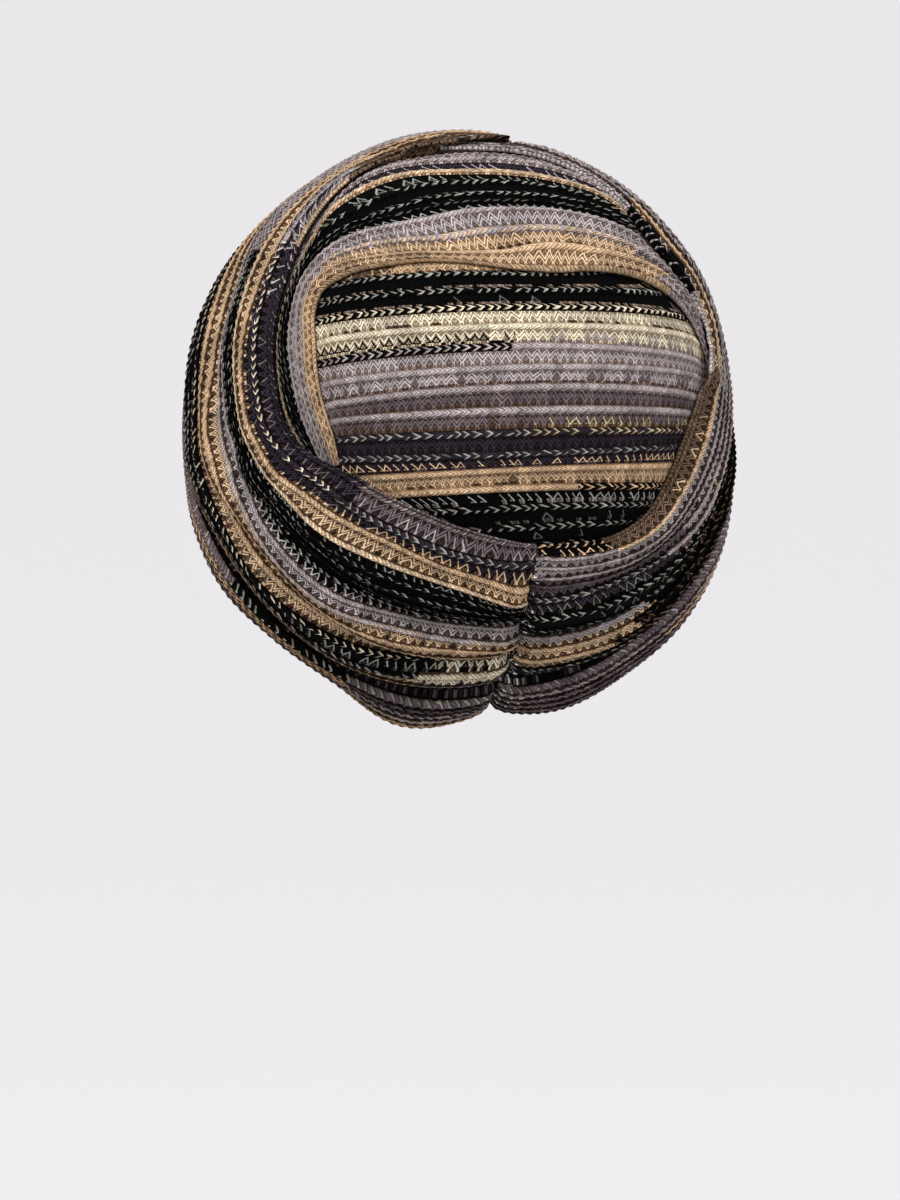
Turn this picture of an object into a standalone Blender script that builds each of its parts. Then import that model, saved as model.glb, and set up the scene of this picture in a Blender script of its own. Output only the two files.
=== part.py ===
# Turban headwrap: a soft knitted turban seen as a round bowl, its crown panel at the back, two wraps
# that sweep from the crown to a gathered seam over the nape, and a rolled hem band round the face and neck.
# Metres, +Z up, the face side towards -Y, the wearer's left towards +X.
import math

import bpy
import numpy as np

for old in list(bpy.data.objects):
    bpy.data.objects.remove(old, do_unlink=True)

MM = 0.001

# The round body under every piece: half sizes and squareness (2 would be an ellipsoid).
HALF_X, HALF_Y, HALF_Z = 96.5 * MM, 114.0 * MM, 103.0 * MM
SQUARENESS = 2.08
POLE_TILT = math.radians(12)      # the crown panel's middle looks back and this much up

GAP = 0.6 * MM                    # clearance between pieces that lie on each other
LINING = -14.0 * MM               # level of the wraps' head side under the round body
RIB = 0.8 * MM                    # height of a knitted course's cord over the groove beside it
PANEL_WALL = 3.2 * MM             # single knit of the crown panel
PANEL_DROP = -3.0 * MM            # level of the crown panel where the wraps lie over it

# The tables are in degrees. The crown panel's is flat: a height and two ends away from the panel's middle.
# The others go round that middle: turn 0 points to the top of the head, +90 to the wearer's left, -90 to
# the right, 180 to the nape, and an edge or a cord is so many degrees away from the middle.
PANEL = (  # height of a level course, its left and right ends: degrees from the panel's middle
    (28.0, 38.0, -20.0),
    (24.0, 46.0, -34.0),
    (19.0, 48.0, -43.0),
    (13.0, 48.0, -48.5),
    (5.0, 47.6, -47.6),
    (-4.0, 45.8, -42.6),
    (-12.0, 43.2, -38.4),
    (-18.0, 39.2, -35.0),
    (-24.0, 31.6, -31.2),
    (-29.0, 21.6, -26.0),
    (-33.5, 9.0, -13.0),
)
FOLD = (   # turn, inner edge, tan cord, grey cord, cream cord, border under the wraps, crest in mm
    (109, 41.0, 42.1, 44.6, 46.6, 48.6, -2.2),
    (103, 40.4, 41.5, 44.8, 48.0, 50.0, -0.6),
    (91, 41.6, 42.8, 46.4, 52.0, 54.0, 1.4),
    (82, 43.2, 44.4, 48.0, 54.0, 56.0, 2.2),
    (73, 45.0, 46.2, 50.2, 56.0, 58.0, 2.4),
    (64, 47.6, 48.9, 52.0, 57.6, 59.6, 2.2),
    (58, 48.0, 49.6, 53.1, 58.4, 60.4, 1.8),
    (52, 44.5, 47.6, 53.0, 59.2, 61.6, 1.4),
    (44, 38.0, 41.5, 51.6, 60.6, 64.0, 1.0),
    (34, 32.0, 35.8, 46.6, 60.8, 68.5, 0.6),
    (22, 26.8, 30.7, 41.6, 58.0, 71.5, 0.4),
    (10, 23.8, 27.5, 38.5, 52.4, 68.0, 0.3),
    (-4, 22.6, 26.2, 36.8, 50.2, 66.5, 0.3),
    (-18, 23.4, 27.0, 38.0, 50.4, 65.5, 0.4),
    (-30, 26.4, 29.8, 41.2, 51.6, 60.0, 0.7),
    (-42, 31.0, 34.4, 44.0, 48.0, 49.6, 1.0),
    (-54, 37.2, 40.0, 45.4, 48.4, 49.6, 1.4),
    (-66, 43.2, 44.6, 46.8, 48.4, 49.6, 0.4),
    (-75, 46.0, 46.7, 47.8, 48.8, 50.0, -1.9),
    (-84, 47.0, 47.7, 48.8, 49.8, 51.0, -2.2),
)
LEFT = (   # turn, inner edge, outer edge over the hem band, height in mm, edge roll in mm
    (180, 29.3, 69.0, -2.0, 2.5),
    (165, 28.8, 73.5, 1.0, 3.0),
    (150, 29.6, 79.0, 2.0, 3.2),
    (135, 31.8, 83.0, 2.2, 3.4),
    (120, 36.2, 85.0, 3.2, 3.6),
    (111, 40.0, 89.0, 3.2, 3.4),
    (104, 45.2, 95.0, 2.8, 3.0),
    (97, 50.0, 100.0, 2.2, 2.6),
    (86, 53.2, 103.5, 0.6, 2.2),
    (72, 56.4, 107.5, 0.6, 2.0),
    (56, 59.8, 111.5, 0.0, 2.0),
    (40, 65.0, 115.0, -1.4, 2.6),
    (28, 68.5, 117.5, -1.0, 3.2),
    (16, 67.4, 119.5, 1.2, 3.6),
    (8, 66.8, 120.5, 3.0, 4.0),
    (0, 66.8, 121.0, 3.6, 4.2),
    (-12, 66.8, 120.0, 3.4, 4.0),
    (-24, 66.8, 118.0, 3.0, 4.0),
    (-36, 66.8, 115.5, 2.4, 4.0),
)
RIGHT = (  # turn, inner edge, outer edge over the hem band, height in mm, edge roll in mm
    (-180, 29.3, 66.0, -2.0, 2.5),
    (-166, 30.0, 63.5, 1.4, 4.0),
    (-150, 32.4, 62.0, 3.0, 5.5),
    (-136, 33.8, 60.5, 3.4, 6.0),
    (-122, 33.6, 62.5, 3.2, 6.5),
    (-108, 34.4, 68.5, 2.4, 6.5),
    (-96, 37.4, 79.0, 1.4, 6.0),
    (-84, 42.6, 91.0, 1.2, 5.0),
    (-72, 47.6, 100.0, 1.6, 4.0),
    (-60, 48.2, 106.5, 1.8, 3.2),
    (-48, 47.6, 111.5, 1.6, 2.8),
    (-36, 54.0, 115.5, 1.6, 2.6),
    (-24, 62.6, 118.0, 1.2, 2.6),
    (-12, 65.4, 120.0, 1.2, 2.6),
    (0, 66.0, 121.0, 0.6, 2.4),
    (16, 74.0, 121.0, 0.4, 2.4),
)
HEM = (    # turn, hem, height in mm, outward stand of the hem in mm
    (180, 79.0, -1.0, 4.0),
    (165, 85.5, 1.0, 9.0),
    (150, 89.5, 0.5, 4.5),
    (136, 94.0, 1.0, 2.5),
    (122, 97.0, 3.0, 1.5),
    (110, 102.0, 4.0, 0.5),
    (98, 109.0, 3.0, 0.0),
    (84, 116.0, 0.0, 0.0),
    (66, 124.5, 0.0, 0.0),
    (46, 134.5, 0.0, 0.0),
    (24, 143.5, 0.5, 0.0),
    (0, 147.0, 1.0, 0.0),
    (-24, 143.5, 0.5, 0.0),
    (-46, 134.5, 0.0, 0.0),
    (-66, 124.0, 0.0, 0.0),
    (-84, 113.0, 0.5, 0.0),
    (-98, 103.0, 0.0, 0.0),
    (-110, 95.5, 0.6, 1.0),
    (-122, 90.5, 1.6, 1.5),
    (-136, 87.5, 1.8, 2.5),
    (-150, 87.0, 1.6, 4.0),
    (-166, 84.0, 1.0, 4.5),
    (-180, 79.0, -1.0, 4.0),
)
PLEATS_LEFT = (   # share across, height in mm, half width across, fades out at this turn
    (0.10, 1.2, 0.070, 60),
    (0.30, 2.6, 0.085, 80),
    (0.44, -2.2, 0.060, 90),
    (0.57, 3.0, 0.075, 95),
    (0.69, -2.4, 0.055, 100),
    (0.82, 2.2, 0.080, 110),
    (0.93, -1.2, 0.050, 110),
)
PLEATS_RIGHT = (
    (0.28, -1.8, 0.070, -120),
    (0.46, 2.2, 0.085, -95),
    (0.62, -2.2, 0.065, -105),
    (0.78, 2.4, 0.085, -110),
)
LEFT_COURSES, RIGHT_COURSES = 12, 10   # cords across the wraps
BAND_COURSES = 4                  # cords across the hem band's outer face
PANEL_DOME = 2.6 * MM             # how far the panel's middle stands over its rim
PANEL_PITCH = 3.8                 # degrees between the panel's level cords
PANEL_CORD = 23.1                 # height in degrees of the cord beside the fold
TUCK = 6.0                        # degrees that the panel and the hem band run on under the wraps
FOLD_TUCK = 3.5                   # degrees that the fold does
UNDER = -6.0 * MM                 # level of the hem band's upper edge, under the wraps
FRONT = 60.0                      # turn from which the wraps' ends slant along the front crease
CREASE_TUCK = 7.0                 # turn by which the right wrap runs on under the left there
CREASE_DROP = -4.0 * MM           # level of that hidden end
LIP = 1.2 * MM                    # thickness of a wrap at its very edge
CLEAR_BAND, CLEAR_RIM = 9.5, 10.0   # degrees in from a wrap's edges where its head side reaches the lining


def column(table, n):
    """Column n of a table of rows."""
    return np.array([row[n] for row in table], float)


def eased(turn, table, n):
    """Column n read at a turn: cubic pieces through the rows, slopes from the neighbouring rows."""
    x, y = column(table, 0), column(table, n)
    if x[0] > x[-1]:
        x, y = x[::-1], y[::-1]
    slope = np.gradient(y, x)
    turn = np.clip(turn, x[0], x[-1])
    k = np.clip(np.searchsorted(x, turn, side="right") - 1, 0, len(x) - 2)
    width = x[k + 1] - x[k]
    s = (turn - x[k]) / width
    return ((2 * s ** 3 - 3 * s ** 2 + 1) * y[k] + (s ** 3 - 2 * s ** 2 + s) * width * slope[k]
            + (3 * s ** 2 - 2 * s ** 3) * y[k + 1] + (s ** 3 - s ** 2) * width * slope[k + 1])


def ramp(x, low, high):
    """0 below low, 1 above high, eased between; low may be the greater one."""
    s = np.clip((x - low) / (high - low), 0.0, 1.0)
    return s * s * (3 - 2 * s)


def spots(turn, reach, level):
    """Points at a turn and reach (degrees) round the crown's middle, level metres off the round body."""
    a, b = np.radians(turn), np.radians(reach)
    side = np.sin(b) * np.sin(a)
    rise = np.sin(b) * np.cos(a)
    dx = side
    dy = np.cos(b) * math.cos(POLE_TILT) - rise * math.sin(POLE_TILT)
    dz = np.cos(b) * math.sin(POLE_TILT) + rise * math.cos(POLE_TILT)
    body = (np.abs(dx / HALF_X) ** SQUARENESS + np.abs(dy / HALF_Y) ** SQUARENESS
            + np.abs(dz / HALF_Z) ** SQUARENESS) ** (-1 / SQUARENESS)
    return np.stack([dx, dy, dz], axis=-1) * (body + level)[..., None]


def ribs(courses):
    """Cord height for a course number: RIB on whole numbers, 0 in the groove half way between."""
    return RIB * (0.5 + 0.5 * np.cos(2 * math.pi * courses))


def ladder(verts, outer, inner):
    """Triangles that fill the end of a piece between its outer and head-side rows of points."""
    faces, i, j = [], 0, 0
    while i < len(outer) - 1 or j < len(inner) - 1:
        step_out = np.linalg.norm(verts[outer[min(i + 1, len(outer) - 1)]] - verts[inner[j]])
        step_in = np.linalg.norm(verts[inner[min(j + 1, len(inner) - 1)]] - verts[outer[i]])
        if j == len(inner) - 1 or (i < len(outer) - 1 and step_out <= step_in):
            faces.append([outer[i], outer[i + 1], inner[j]])
            i += 1
        else:
            faces.append([outer[i], inner[j + 1], inner[j]])
            j += 1
    return faces


def solid(name, rings, faced, colour):
    """A closed body from rings of points, the first `faced` of each on the outer face, its ends filled."""
    count, length = rings.shape[:2]
    verts = rings.reshape(-1, 3)
    i, j = np.meshgrid(np.arange(count - 1), np.arange(length), indexing="ij")
    k = (j + 1) % length
    walls = np.stack([i * length + j, i * length + k, (i + 1) * length + k, (i + 1) * length + j], axis=-1)
    last = (count - 1) * length
    start = ladder(verts, list(range(faced)), list(range(length - 1, faced - 1, -1)))
    end = ladder(verts, list(range(last, last + faced)), list(range(last + length - 1, last + faced - 1, -1)))
    faces = walls.reshape(-1, 4).tolist() + [f[::-1] for f in start] + end
    volume = sum(np.dot(verts[f[0]], np.cross(verts[f[n]], verts[f[n + 1]]))
                 for f in faces for n in range(1, len(f) - 1))
    mesh = bpy.data.meshes.new(name)
    mesh.from_pydata(verts.tolist(), [], faces)
    if volume < 0:
        mesh.flip_normals()
    mesh.update()
    thing = bpy.data.objects.new(name, mesh)
    bpy.context.scene.collection.objects.link(thing)
    material = bpy.data.materials.new(name + "_knit")
    material.use_nodes = True
    shader = material.node_tree.nodes["Principled BSDF"]
    shader.inputs["Base Color"].default_value = (*colour, 1.0)
    shader.inputs["Roughness"].default_value = 0.9
    shader.inputs["Metallic"].default_value = 0.0
    mesh.materials.append(material)
    mesh.shade_smooth()
    return thing


def panel_border(turn):
    """Reach at which the crown panel goes under the nearest of the pieces that lie over it."""
    wraps = np.minimum(np.where(turn > 100, eased(turn, LEFT, 1), 999.0),
                       np.where(turn < -76, eased(turn, RIGHT, 1), 999.0))
    return np.minimum(wraps, np.where((turn > -84) & (turn < 109), eased(turn, FOLD, 1), 999.0))


def cover(turn, reach):
    """Top level of whatever lies under the wraps: the panel's rim, the fold, or the bare lining."""
    inner = panel_border(turn)
    rim = LINING + (PANEL_DROP + GAP - LINING) * (1 - ramp(reach, inner + TUCK + 1.0, inner + TUCK + 4.0))
    border = eased(turn, FOLD, 5)
    over_fold = ramp(reach, border + FOLD_TUCK + 8.0, border + FOLD_TUCK + 4.0)
    over_fold *= ramp(turn, -98, -86) * ramp(turn, 122, 111.2)
    fold = LINING + (fold_top(turn, reach) + RIB + 1.6 * GAP - LINING) * over_fold
    return np.maximum(rim, fold)


def fold_top(turn, reach):
    """Outer level of the fold: a rounded inner edge, a crest, and a slope down under the wraps."""
    inner, border = eased(turn, FOLD, 1), eased(turn, FOLD, 5)
    crest = eased(turn, FOLD, 6) * MM
    lip = PANEL_DROP + GAP + LIP
    edge = 1 - np.clip((reach - inner) / 1.6, 0.0, 1.0)
    body = lip + (crest - lip) * np.sqrt(1 - edge ** 2)
    slope = np.minimum(7.0, 0.6 * (border - inner))
    return body + (PANEL_DROP - body) * ramp(reach, border - slope, border - 0.5)


def fold_courses(turn, reach):
    """Course number on the fold: 1 on the tan cord, 3 on the grey one, 7 on the cream one."""
    knots = np.stack([eased(turn, FOLD, n) for n in (1, 2, 3, 4)])
    inner, tan, grey, cream = knots
    return np.where(reach < tan, (reach - inner) / (tan - inner),
           np.where(reach < grey, 1 + 2 * (reach - tan) / (grey - tan),
           np.where(reach < cream, 3 + 4 * (reach - grey) / (cream - grey),
                    7 + (reach - cream) / PANEL_PITCH)))


def crease(reach):
    """Turn at which the left wrap ends on the right one: a slant from the top of the head to the forehead."""
    return 12.0 - 22.0 * ramp(reach, 61.5, 75.0) - 20.0 * ramp(reach, 75.0, 125.0)


def front_turn(base, reach):
    """Turn of a station: its own beyond FRONT, and drawn to the slanting crease (base 0) before it."""
    line = crease(reach)
    return np.where(np.abs(base) < FRONT, line + base * (FRONT - np.sign(base) * line) / FRONT, base)


def turn_from_seam(side, away, reach):
    """Turn of a point the given distance away from the seam, on the side +1 or -1."""
    return side * (180.0 - np.degrees(away / (HALF_Z * np.sin(np.radians(reach)))))


def seam_dip(turn, reach):
    """How far a wrap's surface rounds down as it runs into the seam."""
    away = np.radians(180.0 - np.abs(turn)) * HALF_Z * np.sin(np.radians(reach))
    edge = 1 - np.clip(away / (8 * MM), 0.0, 1.0)
    return 4.5 * MM * (1 - np.sqrt(1 - edge ** 2))


def pleats(share, turn, table):
    """Soft pleats along a wrap, fading out away from the seam."""
    height = np.zeros_like(share)
    for middle, rise, half, end in table:
        near_seam = ramp(np.abs(turn), abs(end) - 40, abs(end) + 40)
        height += rise * MM * np.exp(-((share - middle) / half) ** 2) * near_seam
    return height


def wrap_top(share, turn, reach, table, folds, courses):
    """Outer level of a wrap: rolled at both edges, pleated towards the seam, ribbed."""
    inner, outer = eased(turn, table, 1), eased(turn, table, 2)
    height, roll = eased(turn, table, 3) * MM, eased(turn, table, 4) / 1.9
    body = height + pleats(share, turn, folds) - seam_dip(turn, reach)
    lip = cover(turn, inner) + LIP
    edge = 1 - np.clip((reach - inner) / roll, 0.0, 1.0)
    body = lip + (body - lip) * np.sqrt(1 - edge ** 2)
    foot = UNDER + 1.8 * GAP + LIP
    edge = 1 - np.clip((outer - reach) / 2.4, 0.0, 1.0)
    body = foot + (body - foot) * np.sqrt(1 - edge ** 2)
    return body + ribs(share * courses) * ramp(reach, inner, inner + 2) * ramp(reach, outer, outer - 2)


def wrap_foot(turn, reach, outer):
    """Head-side level of a wrap: the lining, lifted over the hem band and over what lies under it."""
    over_band = ramp(reach, outer - CLEAR_BAND - 4.0, outer - CLEAR_BAND)
    return np.maximum(cover(turn, reach), LINING + (UNDER + 1.8 * GAP - LINING) * over_band)


def hidden_end(turn, reach, outer):
    """Outer level of the right wrap's end where it runs on under the left wrap."""
    return np.maximum(CREASE_DROP, wrap_foot(turn, reach, outer) + LIP)


def squeezed(offset, kept, room):
    """Offsets from a wrap's edge, those beyond the kept one drawn back to it where there is little room."""
    return np.minimum(offset, kept) + np.maximum(offset - kept, 0.0) * room


def wrap_rings(bases, table, folds, courses, side):
    """Rings of a wrap, one per station: the outer face from edge to edge, then the head side back."""
    steps = np.arange(1, 2 * courses) / (2 * courses)
    faces = np.concatenate([[0.0, 0.008, 0.022], steps, [0.978, 0.992, 1.0]])
    from_outer = np.array([0.05, 4.5, CLEAR_BAND, 13.5])
    from_inner = np.array([19.5, 15.5, 12.5, CLEAR_RIM, 7.5, 5.0, 2.5, 0.05])
    n = len(faces)
    by_outer, by_inner = slice(n, n + len(from_outer)), slice(n + len(from_outer) + 1, None)
    base = np.repeat(bases[:, None], n + len(from_outer) + 1 + len(from_inner), axis=1)
    turn = base
    for _ in range(12):
        inner, outer = eased(turn, table, 1), eased(turn, table, 2)
        room = np.clip((outer - inner - CLEAR_BAND - CLEAR_RIM) / 17.0, 0.0, 1.0)
        reach = (inner + outer) / 2 + 3.0 * room
        reach[:, :n] = inner[:, :n] + (outer - inner)[:, :n] * faces
        reach[:, by_outer] = outer[:, by_outer] - squeezed(from_outer, CLEAR_BAND, room[:, by_outer])
        reach[:, by_inner] = inner[:, by_inner] + squeezed(from_inner, CLEAR_RIM, room[:, by_inner])
        turn = (turn + front_turn(base, reach)) / 2
    near = ramp(np.abs(turn), 176.0, 180.0)
    turn = turn * (1 - near) + near * turn_from_seam(side, GAP / 2, reach)
    share = (reach - inner) / (outer - inner)
    level = wrap_top(share, turn, reach, table, folds, courses)
    foot = wrap_foot(turn, reach, outer)
    under = hidden_end(turn, reach, outer)
    if side > 0:
        foot = foot + (under + 3 * GAP - foot) * ramp(base, CREASE_TUCK + 8.0, CREASE_TUCK + 4.0)
        level -= 1.2 * MM * (1 - np.sqrt(1 - (1 - np.clip(base / 7.0, 0.0, 1.0)) ** 2))
    else:
        level = level + (under - level) * ramp(base, -8.0, -2.5)
    level = np.maximum(level, foot + LIP)
    level[:, n:] = foot[:, n:]
    return spots(turn, reach, level), n


def band_edge(turn):
    """Reach of the wraps' outer edges, where the hem band comes out from under them."""
    return np.where(turn > -18, eased(turn, LEFT, 2), eased(turn, RIGHT, 2))


def band_top(turn, reach):
    """Outer level of the hem band: low under the wraps, then standing out towards the hem."""
    edge = band_edge(turn)
    face = (eased(turn, HEM, 2) + eased(turn, HEM, 3) * ramp(reach, edge, eased(turn, HEM, 1))) * MM
    return UNDER + (face - seam_dip(turn, reach) - UNDER) * ramp(reach, edge + 1.4, edge + 4.4)


def band_rings(turns):
    """Rings of the hem band: outer face down to the hem, round it, and back up the head side."""
    hidden = np.array([-TUCK, -TUCK / 2, 1.2, 2.8])
    faces = np.arange(1, 2 * BAND_COURSES + 1) / (2 * BAND_COURSES)
    back = np.array([1.0, 0.75, 0.4, 0.1, -0.3])
    turn = np.repeat(turns[:, None], len(hidden) + len(faces) + len(back), axis=1)
    edge, hem = band_edge(turns)[:, None], eased(turns, HEM, 1)[:, None]
    up_back = edge + np.maximum(back, 0) * (hem - edge) + np.minimum(back, 0) * TUCK / 0.3
    reach = np.concatenate([edge + hidden, edge + 4.2 + faces * (hem - edge - 4.2), up_back], axis=1)
    share = (reach - edge) / (hem - edge)
    near = ramp(np.abs(turn), 176.0, 180.0)
    turn = turn * (1 - near) + near * turn_from_seam(np.sign(turn), GAP / 2, reach)
    top = band_top(turn, reach)
    foot = LINING + eased(turn, HEM, 3) * MM * ramp(share, 0.0, 1.0) + 1.5 * MM
    thick = top - foot
    rounding = 1 - np.sqrt(1 - np.clip((share - 0.75) / 0.25, 0, 1) ** 2)
    top = top - 0.42 * thick * rounding + ribs(share * BAND_COURSES) * ramp(share, 0.0, 0.2)
    foot = foot + 0.30 * thick * rounding
    faced = len(hidden) + len(faces)
    level = np.where(np.arange(turn.shape[1]) < faced, top, foot)
    return spots(turn, reach, level), faced


def fold_rings(turns):
    """Rings of the fold round the crown: outer face from its rolled edge to its hidden border, then back."""
    numbers = np.concatenate([[0.0, 0.25], np.arange(1, 15) / 2])
    beyond = np.array([0.3, 0.6, 0.85, 1.0])
    back = np.array([0.85, 0.4, 0.0])
    over_panel = np.array([TUCK + 4.0, TUCK + 1.0, 3.0, 0.05])
    count = len(numbers) + len(beyond) + len(back) + len(over_panel)
    turn = np.repeat(turns[:, None], count, axis=1)
    inner, tan, grey, cream, border = (eased(turns, FOLD, n)[:, None] for n in (1, 2, 3, 4, 5))
    rim = border + FOLD_TUCK
    first = np.where(numbers < 1, inner + numbers * (tan - inner),
            np.where(numbers < 3, tan + (numbers - 1) / 2 * (grey - tan),
                     grey + (numbers - 3) / 4 * (cream - grey)))
    low = np.minimum(inner + TUCK + 4.5, rim - 0.6)
    reach = np.concatenate([first, cream + beyond * (rim - cream), low + back * (rim - 0.3 - low),
                            np.minimum(inner + over_panel, rim - 0.9)], axis=1)
    top = fold_top(turn, reach) + ribs(fold_courses(turn, reach)) * ramp(reach, inner, inner + 1) * ramp(
        reach, border - 1.0, border - 3.0)
    lift = 1 - ramp(reach, inner + TUCK + 1.0, inner + TUCK + 4.0)
    foot = -7.0 * MM + (PANEL_DROP + GAP + 7.0 * MM) * lift
    faced = len(numbers) + len(beyond)
    level = np.where(np.arange(count) < faced, top, foot)
    return spots(turn, reach, level), faced


def panel_rings(count):
    """Rings of the crown panel, from its left end to its right: level rows outside, the head side within."""
    rows = np.arange(28.0, -33.6, -PANEL_PITCH / 2)
    back = np.array([-33.5, -27.0, -18.0, -8.0, 3.0, 14.0, 22.0, 28.0])
    height, along = np.meshgrid(np.concatenate([rows, back]), np.linspace(0, 1, count), indexing="xy")
    left, right = eased(height, PANEL, 1), eased(height, PANEL, 2)
    x = left + along * (right - left)
    y = height + 0.075 * x * (height + 4) / 27
    turn, reach = np.degrees(np.arctan2(x, y)), np.hypot(x, y)
    reach = np.minimum(reach, panel_border(turn) + TUCK)
    dome = 1 - np.clip(reach / (panel_border(turn) - 0.5), 0.0, 1.0) ** 6
    cords = ribs((PANEL_CORD - height) / PANEL_PITCH) * np.clip(dome * 3, 0, 1)
    level = PANEL_DROP + PANEL_DOME * dome + cords
    level = np.where(np.arange(height.shape[1]) < len(rows), level, PANEL_DROP - PANEL_WALL)
    return spots(turn, reach, level), len(rows)


fold_turns = np.array([109, 106, 102, 97, 91, 85, 79, 73, 68, 63, 59, 55, 50, 45, 39, 33, 26, 19, 12, 4,
                       -4, -12, -20, -28, -36, -42, -48, -54, -60, -66, -72, -78, -84.0])
wrap_turns = np.array([180, 177, 174, 170, 165, 159, 153, 147, 141, 135, 129, 123, 117, 111, 105, 99, 92, 85,
                       77, 69, 60, 52, 45, 38, 32, 26, 20, 15, 11, 7, 3, 0.0])
right_turns = np.concatenate([-wrap_turns[:-5], [-11.0, -8.0, -5.5, -2.5, 2.0, CREASE_TUCK]])
band_turns = np.concatenate([[180, 177, 174], np.arange(169, -170, -7.0), [-174, -177, -180]])

solid("crown_panel", *panel_rings(19), (0.19, 0.17, 0.16))
solid("crown_fold", *fold_rings(fold_turns), (0.24, 0.20, 0.18))
solid("left_wrap", *wrap_rings(wrap_turns, LEFT, PLEATS_LEFT, LEFT_COURSES, 1), (0.25, 0.20, 0.17))
solid("right_wrap", *wrap_rings(right_turns, RIGHT, PLEATS_RIGHT, RIGHT_COURSES, -1), (0.22, 0.20, 0.20))
solid("hem_band", *band_rings(band_turns), (0.17, 0.15, 0.16))
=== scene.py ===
"""Turban headwrap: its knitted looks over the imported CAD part. Metres, +Z up, the face side towards -Y."""

import math

import bpy
import numpy as np
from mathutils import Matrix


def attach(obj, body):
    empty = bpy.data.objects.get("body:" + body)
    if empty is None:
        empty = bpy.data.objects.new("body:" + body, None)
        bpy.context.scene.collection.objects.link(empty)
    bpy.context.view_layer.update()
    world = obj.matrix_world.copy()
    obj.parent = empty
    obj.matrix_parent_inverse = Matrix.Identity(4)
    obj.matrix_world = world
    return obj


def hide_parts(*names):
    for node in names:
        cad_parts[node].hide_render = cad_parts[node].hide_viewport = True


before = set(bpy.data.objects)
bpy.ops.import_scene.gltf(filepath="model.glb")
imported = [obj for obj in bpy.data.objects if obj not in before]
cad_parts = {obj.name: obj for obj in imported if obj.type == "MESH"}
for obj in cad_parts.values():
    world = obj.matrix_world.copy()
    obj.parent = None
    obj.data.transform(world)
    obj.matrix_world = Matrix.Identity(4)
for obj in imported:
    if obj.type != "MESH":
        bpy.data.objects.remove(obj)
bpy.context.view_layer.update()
scene = bpy.context.scene

# Camera
# Seen from behind, a little from the wearer's left and from 5 degrees above, through a long lens.
# It is tipped down a little more, so that the headwrap stands in the upper half of the picture.
MM = 0.001
AZIMUTH, ELEVATION = math.radians(165), math.radians(5)
DISTANCE, PICTURE_HEIGHT = 4.5, 432.5 * MM
RIGHT_OF_IT, BELOW_IT = -2.9 * MM, 63.0 * MM
toward = np.array([math.sin(AZIMUTH) * math.cos(ELEVATION), -math.cos(AZIMUTH) * math.cos(ELEVATION),
                   math.sin(ELEVATION)])
sideways = np.array([math.cos(AZIMUTH), math.sin(AZIMUTH), 0.0])
lens = bpy.data.cameras.new("camera")
lens.lens = 36.0 * DISTANCE / PICTURE_HEIGHT
camera = bpy.data.objects.new("camera", lens)
scene.collection.objects.link(camera)
camera.location = toward * DISTANCE + sideways * RIGHT_OF_IT
camera.rotation_euler = (math.radians(90) - ELEVATION - math.atan(BELOW_IT / DISTANCE), 0.0, AZIMUTH)
scene.camera = camera

# Crown panel
# Single striped knit in level courses, its rim tucked under the fold and the two wraps.
# Here and below, 19 points in 20 of a piece keep within about 2 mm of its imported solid.
# An edge or a cord is so many degrees from the panel's middle.
HALF_X, HALF_Y, HALF_Z = 96.5 * MM, 114.0 * MM, 103.0 * MM     # half sizes of the round body under it all
SQUARENESS = 2.08                 # of the round body; 2 would be an ellipsoid
POLE_TILT = math.radians(12)      # the panel's middle looks back and this much up
GAP = 0.6 * MM                    # clearance between pieces that lie on each other
LINING = -14.0 * MM               # level of the wraps' inner side under the round body
LIP = 1.2 * MM                    # thickness that is left at a rolled edge
PANEL_WALL = 3.2 * MM             # single knit of the panel
PANEL_DROP = -3.0 * MM            # level of the panel's rim
PANEL_DOME = 2.6 * MM             # rise of its middle over the rim
PANEL_PITCH, PANEL_CORD = 3.8, 23.1     # degrees from one level course to the next, and height of course 0
TUCK, FOLD_TUCK = 6.0, 3.5        # degrees that the panel and the fold go on under the next piece
CORD = 1.1 * MM                   # height of a course's cord over the zigzag beside it
HALF_CORD, LEGS_START = 0.2, 0.66       # parts of a course: its cord's half width, the end of its zigzag
BEAD = 0.25 * MM                  # swelling of a cord at the middle of a stitch
STITCH = 3.45 * MM                # length of a stitch along its course
PANEL = (  # height of a level course, its left and right ends: degrees from the panel's middle
    (28.0, 38.0, -20.0),
    (24.0, 46.0, -34.0),
    (19.0, 48.0, -43.0),
    (13.0, 48.0, -48.5),
    (5.0, 47.6, -47.6),
    (-4.0, 45.8, -42.6),
    (-12.0, 43.2, -38.4),
    (-18.0, 39.2, -35.0),
    (-24.0, 31.6, -31.2),
    (-29.0, 21.6, -26.0),
    (-33.5, 9.0, -13.0),
)
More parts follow.
